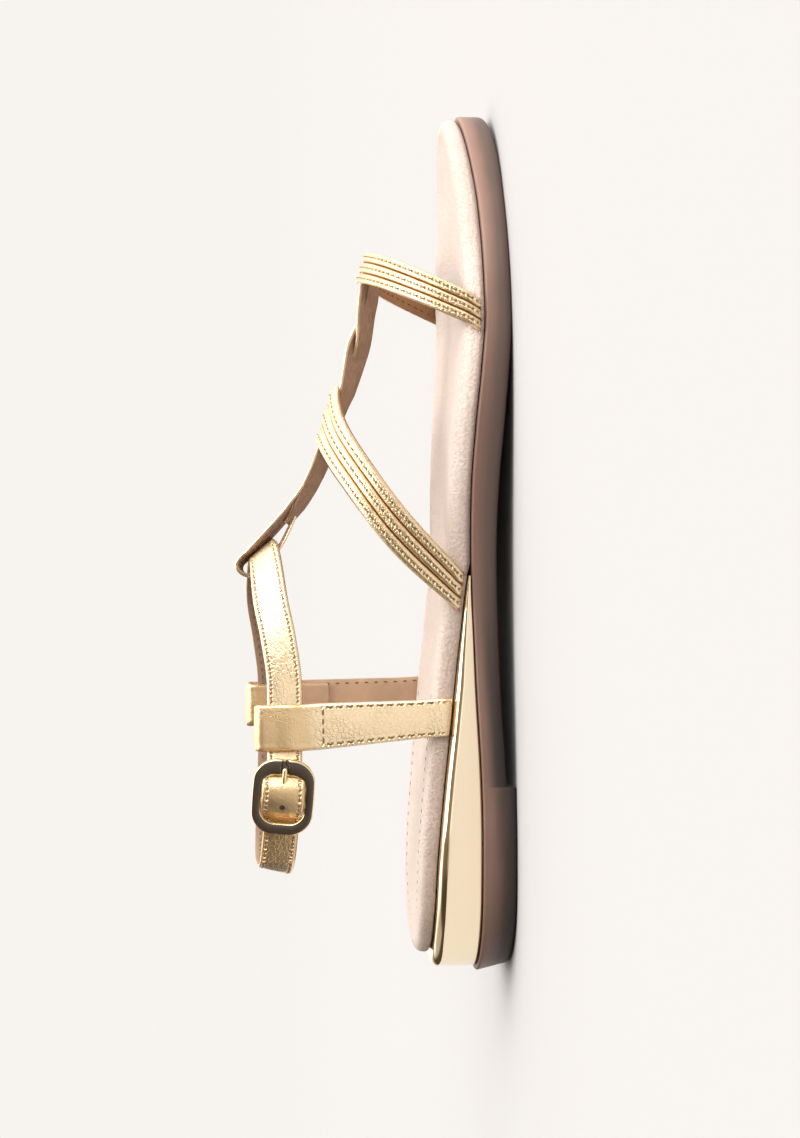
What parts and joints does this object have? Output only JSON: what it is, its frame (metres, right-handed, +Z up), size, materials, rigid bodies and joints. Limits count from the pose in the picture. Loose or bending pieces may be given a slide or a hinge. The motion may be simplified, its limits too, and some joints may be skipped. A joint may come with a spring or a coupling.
{
  "type": "gladiator sandal",
  "caption": "Flat right sandal: corded bands over toes and instep, a braided T-bar to a buckled ankle strap, upright side straps, a padded footbed and a low wedge on a rubber sole.",
  "frame": {"origin": "on the floor, under the middle of the sandal's bounding box", "axes": "+X from the heel to the toe, +Y to the inner side of the right foot, +Z up from the floor"},
  "size_m": [0.25, 0.0882, 0.0767],
  "materials": {
    "outsole": "satin, moulded",
    "wedge": "mirror gold film over a moulded wedge",
    "insole": "suede",
    "strap_leather": "crinkled metallic gold, with a tan lining",
    "buckle_enamel": "black enamel with a bare gold edge",
    "buckle_metal": "polished"
  },
  "bodies": {
    "root": {"outsole": "outsole", "wedge": "wedge", "insole": "insole", "upper": "strap_leather", "quarter_strap_lateral": "strap_leather", "quarter_strap_medial": "strap_leather", "ankle_strap": "strap_leather", "buckle_frame": "buckle_enamel", "buckle_prong": "buckle_metal"}
  },
  "joints": []
}
